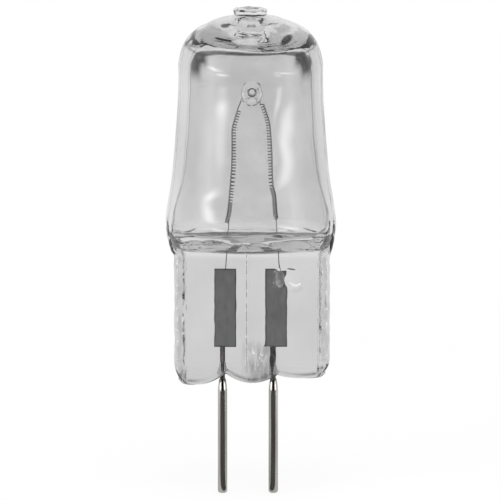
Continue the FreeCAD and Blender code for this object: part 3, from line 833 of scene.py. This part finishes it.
def innerGlass():
    line = smoothLine(cavity["wall"], cavity["spacing"])
    count = cavity["columns"]
    points = [Vector((bulbAxis, 0, line[0].y))]
    for (radius, height), normal in zip(line, lineNormals(line)):
        onFloor = 1 - ease(*cavity["floorFade"], height)
        corner = ease(*cavity["dropOut"], radius) * (1 - ease(*cavity["dropUp"], height))
        for place in range(count):
            angle = 2 * math.pi * place / count
            spot = turned(angle, radius, height)
            spot += turned(angle, normal.x, normal.y) * cavityRipple(spot, angle, radius, height, onFloor)
            spot.z -= cavity["floorDrop"] * math.cos(angle) ** 2 * corner
            spot.z += cavity["troughRise"] * onFloor * (1 - math.exp(-(spot.y / cavity["troughHalf"]) ** 2))
            points.append(spot + Vector((bulbAxis, 0, 0)))
    points.append(Vector((bulbAxis, 0, line[-1].y)))
    return makeMesh("Cavity", points, closedFaces(len(points), len(line), count))


def bridgeForm(name, knots):
    return turnedAlongY(name, knots, bridgeCentre, bridge["spacing"], bridge["columns"], bridge["slope"])


def quartzEnvelope():
    envelope = outerGlass()
    hollow = innerGlass()
    rodKnots = [(radius, -along) for radius, along in bridge["rod"][:0:-1]] + bridge["rod"]
    cutAway(hollow, bridgeForm("Rod", rodKnots))
    for turn, side in ((-1, "left"), (1, "right")):
        cutAway(envelope, bridgeForm("Pit", [(radius, along * turn) for radius, along in bridge["pit"]]))
        pinPlace = Vector((middleOf(f"contact_pin_{side}").x, 0, 0))
        cutAway(envelope, turnedAlongZ("Funnel", seal["funnel"], pinPlace, seal["funnelColumns"]))
    form = bmesh.new()
    form.from_mesh(hollow.data)
    bmesh.ops.reverse_faces(form, faces=form.faces)
    form.to_mesh(hollow.data)
    form.clear()
    form.from_mesh(envelope.data)
    form.from_mesh(hollow.data)
    form.to_mesh(envelope.data)
    form.free()
    bpy.data.objects.remove(hollow)
    envelope.data.shade_smooth()
    envelope.data.set_sharp_from_angle(angle=math.radians(35))
    return envelope


envelope = dress(quartzEnvelope(), quartz, "quartz_glass", "quartz_envelope")
print("quartz envelope made:", len(envelope.data.polygons), "faces")

# Filament: the wire is wound open up each leg and close at its foot. The knots are
# (across, height) from the hook down.
coil = {
    "wireRadius": 0.042, "turnRadius": 0.158, "ringShare": 0.12, "pitch": 0.228, "closePitch": 0.125,
    "stepsPerTurn": 14, "sides": 6, "lineSpacing": 0.01,
    "left": [(-0.68, 22.4), (-0.93, 21.6), (-1.13, 20.7), (-1.13, 19.2), (-1.15, 17.8), (-1.33, 15.55),
             (-1.46, 14.6), (-1.59, 13.95), (-1.68, 13.56)],
    "right": [(1.11, 22.9), (1.34, 22.25), (1.58, 21.45), (1.68, 20.4), (1.74, 19.2), (1.84, 16.8),
              (2.02, 15.85), (2.16, 14.3), (2.33, 14.0)],
    "leftClose": 15.27, "rightClose": 16.5,
    "hookClearance": 0.03, "hookSteps": 14, "hookStart": 190, "hookTurn": 200,
    "leftTail": (-1.75, 9.9), "rightTail": (2.44, 9.9), "tailReach": 0.75, "tailRadius": 0.035,
    "tailDepth": -0.12, "tailSpacing": 0.2, "tailSides": 8, "tailStart": 0.3, "tailBow": 0.03,
}


# A tube of one radius round a run of points.
def tubeRings(path, radius, sides):
    points = []
    side = Vector((0.3, 0.9, 0.2))
    for place, spot in enumerate(path):
        ahead = (path[min(place + 1, len(path) - 1)] - path[max(place - 1, 0)]).normalized()
        side = (side - ahead * side.dot(ahead)).normalized()
        other = ahead.cross(side)
        for step in range(sides):
            angle = 2 * math.pi * step / sides
            points.append(spot + (side * math.cos(angle) + other * math.sin(angle)) * radius)
    return points, ringFaces(len(path), sides) + endFaces(len(points), sides)


def woundLeg(knots, closeHeight, turn):
    line = smoothLine(knots, coil["lineSpacing"])
    path = []
    angle = 0.0
    for before, after in zip(line, line[1:]):
        pitch = coil["closePitch"] if before.y < closeHeight else coil["pitch"]
        angle += 2 * math.pi * (after - before).length / pitch
        if angle >= len(path) * 2 * math.pi / coil["stepsPerTurn"]:
            along = (after - before).normalized()
            across = Vector((along.y, -along.x))
            swing = math.cos(angle) * coil["turnRadius"]
            slide = -turn * coil["ringShare"] * pitch * math.sin(angle)
            place = before + across * swing + along * slide
            path.append(Vector((place.x, turn * math.sin(angle) * coil["turnRadius"], place.y)))
    return path


def filamentPiece():
    left = woundLeg(coil["left"], coil["leftClose"], -1)
    right = woundLeg(coil["right"], coil["rightClose"], 1)
    hookRadius = bridge["radius"] + coil["hookClearance"] + coil["wireRadius"]
    hook = []
    for step in range(coil["hookSteps"] + 1):
        angle = math.radians(coil["hookStart"] - coil["hookTurn"] * step / coil["hookSteps"])
        hook.append(bridgeCentre + Vector((math.cos(angle), 0, math.sin(angle))) * hookRadius)
    points, faces = tubeRings(left[::-1] + hook + right, coil["wireRadius"], coil["sides"])
    for foot, tail in ((left[-1], "leftTail"), (right[-1], "rightTail")):
        across, height = coil[tail]
        high = Vector((across, coil["tailDepth"], height))
        low = high - Vector((0, 0, coil["tailReach"]))
        middle = foot.lerp(high, 0.5) + Vector((coil["tailBow"], 0, 0))
        knots = [foot + Vector((0, 0, coil["tailStart"])), foot, middle, high, low]
        line = smoothLine(knots, coil["tailSpacing"])
        more, moreFaces = tubeRings(line, coil["tailRadius"], coil["tailSides"])
        faces += [tuple(place + len(points) for place in face) for face in moreFaces]
        points += more
    return makeMesh("CoiledFilament", points, faces)


filament = dress(filamentPiece(), tungsten, "tungsten", "filament")
print("filament wound:", len(filament.data.polygons), "faces")

# Foils: thin rolled strips, a little warped by the pressing. The dent bit into the right one.
foilShape = {
    "halfWidth": 0.86, "halfThickness": 0.02, "feather": 0.22, "thinnest": 0.15, "rows": 44, "cuts": 12,
    "warp": (0.05, 1.8, 67), "crinkle": (0.015, 0.4, 71), "ragged": (0.04, 0.5, 61), "raggedReach": 0.5,
    "biteAcross": 3.72, "biteHeight": 8.85, "biteRadius": 0.88, "biteColumns": 48,
}


def foilPiece(side, name):
    node = f"foil_{side}"
    low, high = boxOf(node)
    centre = (low + high) / 2
    points = []
    rows, cuts, halfWidth = foilShape["rows"], foilShape["cuts"], foilShape["halfWidth"]
    for row in range(rows + 1):
        height = mix(low.z, high.z, row / rows)
        loop = []
        for cut in range(cuts + 1):
            across = mix(-halfWidth, halfWidth, cut / cuts)
            edge = halfWidth - abs(across)
            thick = foilShape["halfThickness"] * min(1, foilShape["thinnest"] + edge / foilShape["feather"])
            place = Vector((centre.x + across, 0, height))
            ragged = ripple(place, *foilShape["ragged"]) * ease(foilShape["raggedReach"], 0, edge)
            warp = ripple(place, *foilShape["warp"]) + ripple(place, *foilShape["crinkle"])
            loop.append((centre.x + across + ragged, centre.y + warp, thick))
        points += [Vector((across, depth - thick, height)) for across, depth, thick in loop]
        points += [Vector((across, depth + thick, height)) for across, depth, thick in loop[::-1]]
    count = 2 * (cuts + 1)
    foil = makeMesh(name, points, ringFaces(rows + 1, count) + endFaces(len(points), count))
    if side == "right":
        biteCentre = Vector((foilShape["biteAcross"], 0, foilShape["biteHeight"]))
        biteKnots = [(foilShape["biteRadius"], -1), (foilShape["biteRadius"], 1)]
        cutAway(foil, turnedAlongY("Bite", biteKnots, biteCentre, 1, foilShape["biteColumns"]))
        foil.data.shade_smooth()
    return dress(foil, foilMetal, "molybdenum", node)


# Leads and pins, turned on the frame's own places
leadShape = {"radius": 0.2, "uneven": (0.05, 0.3, 73), "rows": 60, "columns": 20, "weld": 0.9, "flat": 0.06}
pinShape = {
    "radius": 0.375, "noseRadius": 0.22, "noseBulge": 0.6, "noseCuts": 12, "endRound": 0.2, "endCuts": 6,
    "rows": 12, "columns": 48,
}


def leadPiece(side, name):
    node = f"lead_wire_{side}"
    low, high = boxOf(node)
    profile = []
    for row in range(leadShape["rows"] + 1):
        height = mix(low.z, high.z, row / leadShape["rows"])
        uneven = ripple(Vector((0, 0, height)), *leadShape["uneven"])
        profile.append((leadShape["radius"] * (1 + uneven), height))
    lead = turnedAlongZ(name, profile, Vector((middleOf(node).x, 0, 0)), leadShape["columns"])
    for corner in lead.data.vertices:
        if corner.co.z > (high.z - leadShape["weld"]) * mm:
            corner.co.y = max(corner.co.y, (low.y + leadShape["flat"]) * mm)
    return dress(lead, leadMetal, "molybdenum", node)


def pinPiece(side, name):
    node = f"contact_pin_{side}"
    low, high = boxOf(node)
    radius, end, bulge = pinShape["radius"], pinShape["endRound"], pinShape["noseBulge"]
    profile = []
    for cut in range(pinShape["endCuts"] + 1):
        angle = math.pi / 2 * cut / pinShape["endCuts"]
        profile.append((radius - end + end * math.sin(angle), low.z + end * (1 - math.cos(angle))))
    for row in range(1, pinShape["rows"] + 1):
        profile.append((radius, mix(low.z + end, 0, row / pinShape["rows"])))
    for cut in range(1, pinShape["noseCuts"] + 1):
        share = cut / pinShape["noseCuts"]
        slimmed = 1 - math.sqrt(1 - share ** 2) * bulge - (1 - bulge) * (1 - share)
        profile.append((mix(radius, pinShape["noseRadius"], slimmed), high.z * share))
    pin = turnedAlongZ(name, profile, Vector((middleOf(node).x, 0, 0)), pinShape["columns"])
    return dress(pin, nickel, "nickel", node)


foilPiece("left", "SealingFoilLeft")
foilPiece("right", "SealingFoilRight")
leadPiece("left", "LeadWireLeft")
leadPiece("right", "LeadWireRight")
pinPiece("left", "ContactPinLeft")
pinPiece("right", "ContactPinRight")
print("foils, leads and pins made")

# Studio: pale floor, white surroundings, soft lamps. Metal also mirrors a darker
# room in front, as it does before a camera.
studio = {
    "floorSize": 0.24, "floorGap": 0.02, "floorTone": 0.9, "floorRough": 0.9, "floorWhite": 0.88,
    "floorFade": (0.05, 0.11), "nearFade": (0.01, 0.045), "nearTone": 0.85, "worldLight": 0.75,
    "rightFade": (0.3, 0.95), "rightTone": 0.79, "roomFade": (-0.44, -0.58), "roomTone": 0.0,
}
seenRays = ("Is Camera Ray", "Is Glossy Ray", "Is Transmission Ray")


def rayKinds(tree, *names):
    path = tree.nodes.new("ShaderNodeLightPath")
    total = path.outputs[names[0]]
    for name in names[1:]:
        total = mathOf(tree, "MAXIMUM", total, path.outputs[name])
    return total


# Rays straight off a surface, without those that have been through glass.
def mirroredRays(tree):
    path = tree.nodes.new("ShaderNodeLightPath")
    outside = mathOf(tree, "LESS_THAN", path.outputs["Transmission Depth"], 0.5)
    return product(tree, path.outputs["Is Glossy Ray"], outside)


# What mirrored rays see: the white surroundings, with the dark room in front.
def mirroredTone(tree, white, inward):
    room = rampOf(tree, inward, *studio["roomFade"], 1, studio["roomTone"])
    chosen = tree.nodes.new("ShaderNodeMix")
    tree.links.new(mirroredRays(tree), chosen.inputs["Factor"])
    tree.links.new(white, chosen.inputs["A"])
    tree.links.new(product(tree, room, white), chosen.inputs["B"])
    return chosen.outputs["Result"]


def mixShaders(tree, share, first, second, output):
    both = tree.nodes.new("ShaderNodeMixShader")
    tree.links.new(share, both.inputs["Fac"])
    tree.links.new(first, both.inputs[1])
    tree.links.new(second, both.inputs[2])
    tree.links.new(both.outputs["Shader"], tree.nodes[output].inputs["Surface"])


# The direction so many degrees round from the front and so many degrees up.
def aimed(around, up):
    level = math.cos(math.radians(up))
    turn = math.radians(around)
    return Vector((math.sin(turn) * level, -math.cos(turn) * level, math.sin(math.radians(up))))


# A soft window in the surroundings, seen in gloss: degrees round from the front,
# degrees up, half its width and half its height as shares of the distance, its lean
# and its brightness.
windows = {
    "leftWide": (-60, 0, 0.6, 0.5, 0, 2.4),
    "rightWide": (58, 0, 0.55, 0.5, 0, 2.0),
    "leftHigh": (-46, -4, 0.3, 0.09, 0, 7.5),
    "leftLow": (-60, 6, 0.36, 0.08, -0.19, 7.0),
    "rightStrip": (43, -5, 0.22, 0.05, -0.39, 5.0),
    "rightBroad": (55, -1.5, 0.45, 0.06, -0.33, 6.0),
}


def windowGlow(tree, direction, around, up, halfWidth, halfHeight, lean, brightness):
    across, inward, over = partsOf(tree, vectorOf(tree, "SUBTRACT", direction, aimed(around, up)))
    raised = mathOf(tree, "SUBTRACT", over, product(tree, across, lean))
    shares = [mathOf(tree, "DIVIDE", offset, half)
              for offset, half in ((across, halfWidth), (inward, halfWidth), (raised, halfHeight))]
    far = mathOf(tree, "POWER", squareSum(tree, *shares), 0.5)
    return rampOf(tree, far, 0, 1, brightness, 0)


def makeFloor():
    half = studio["floorSize"] / 2 / mm
    height = cadBox[0][2] / mm - studio["floorGap"]
    corners = [Vector((across * half, inward * half, height))
               for across, inward in ((-1, -1), (1, -1), (1, 1), (-1, 1))]
    floor = makeMesh("Floor", corners, [(0, 1, 2, 3)])
    material, tree, shader = newMaterial("PaleFloor")
    shader.inputs["Base Color"].default_value = (*[studio["floorTone"]] * 3, 1)
    shader.inputs["Roughness"].default_value = studio["floorRough"]
    place = tree.nodes.new("ShaderNodeTexCoord").outputs["Object"]
    level = vectorOf(tree, "NORMALIZE", vectorOf(tree, "MULTIPLY", place, (1, 1, 0)))
    far = vectorOf(tree, "LENGTH", place)
    # Painted shade: what gloss and glass see of the floor is darker near the object.
    near = rampOf(tree, far, *studio["nearFade"], studio["nearTone"], 1)
    white = mathOf(tree, "MAXIMUM", near, rayKinds(tree, "Is Camera Ray"))
    glow = tree.nodes.new("ShaderNodeEmission")
    tree.links.new(mirroredTone(tree, white, partsOf(tree, level)[1]), glow.inputs["Color"])
    fade = rampOf(tree, far, *studio["floorFade"], studio["floorWhite"], 1)
    share = product(tree, rayKinds(tree, *seenRays), fade)
    mixShaders(tree, share, shader.outputs["BSDF"], glow.outputs["Emission"], "Material Output")
    floor.data.materials.append(material)


def makeWorld():
    world = bpy.data.worlds.new("Studio")
    bpy.context.scene.world = world
    world.use_nodes = True
    tree = world.node_tree
    light = tree.nodes["Background"]
    light.inputs["Color"].default_value = (1, 1, 1, 1)
    light.inputs["Strength"].default_value = studio["worldLight"]
    seen = tree.nodes.new("ShaderNodeBackground")
    seen.inputs["Color"].default_value = (1, 1, 1, 1)
    direction = tree.nodes.new("ShaderNodeTexCoord").outputs["Generated"]
    across, inward, up = partsOf(tree, direction)
    sky = rampOf(tree, across, *studio["rightFade"], 1, studio["rightTone"])
    total = mirroredTone(tree, sky, inward)
    mirrored = mirroredRays(tree)
    for window in windows.values():
        glow = product(tree, windowGlow(tree, direction, *window), mirrored)
        total = mathOf(tree, "ADD", total, glow)
    tree.links.new(total, seen.inputs["Strength"])
    mixShaders(tree, rayKinds(tree, *seenRays), light.outputs["Background"], seen.outputs["Background"],
               "World Output")


def lookAt(holder, target, around, up, distance):
    holder.location = target + aimed(around, up) * distance * mm
    holder.rotation_euler = (holder.location - target).to_track_quat("Z", "Y").to_euler()
    bpy.context.scene.collection.objects.link(holder)


# Each lamp: degrees round from the camera, degrees up, distance, width, watts.
lamps = {
    "KeyLeft": (-47, 30, 320, 160, 0.3),
    "Top": (10, 70, 320, 200, 0.4),
}
lampTarget = Vector((0.2, 0, 18)) * mm


def makeLamps():
    for name, (around, up, distance, width, watts) in lamps.items():
        lamp = bpy.data.lights.new(name, "AREA")
        lamp.shape = "ELLIPSE"
        lamp.size = width * mm
        lamp.size_y = width * mm
        lamp.energy = watts
        holder = bpy.data.objects.new(name, lamp)
        holder.visible_glossy = False
        holder.visible_transmission = False
        lookAt(holder, lampTarget, around, up, distance)


# Camera: the photograph's view, 12.73 of its 500 pixels to a millimetre
view = {
    "pixels": 500, "pixelsPerMillimetre": 12.73, "up": 10.0, "distance": 600.0,
    "across": 0.165, "height": 11.25, "sensor": 36, "nearest": 0.01, "farthest": 20,
}


def makeCamera():
    lens = bpy.data.cameras.new("Camera")
    holder = bpy.data.objects.new("Camera", lens)
    lookAt(holder, Vector((view["across"], 0, view["height"])) * mm, 0, view["up"], view["distance"])
    lens.sensor_width = view["sensor"]
    lens.lens = view["sensor"] * view["distance"] * view["pixelsPerMillimetre"] / view["pixels"]
    lens.clip_start = view["nearest"]
    lens.clip_end = view["farthest"]
    bpy.context.scene.camera = holder


makeFloor()
makeWorld()
makeLamps()
makeCamera()
bpy.context.scene.view_settings.view_transform = "Standard"
print("studio and camera made")
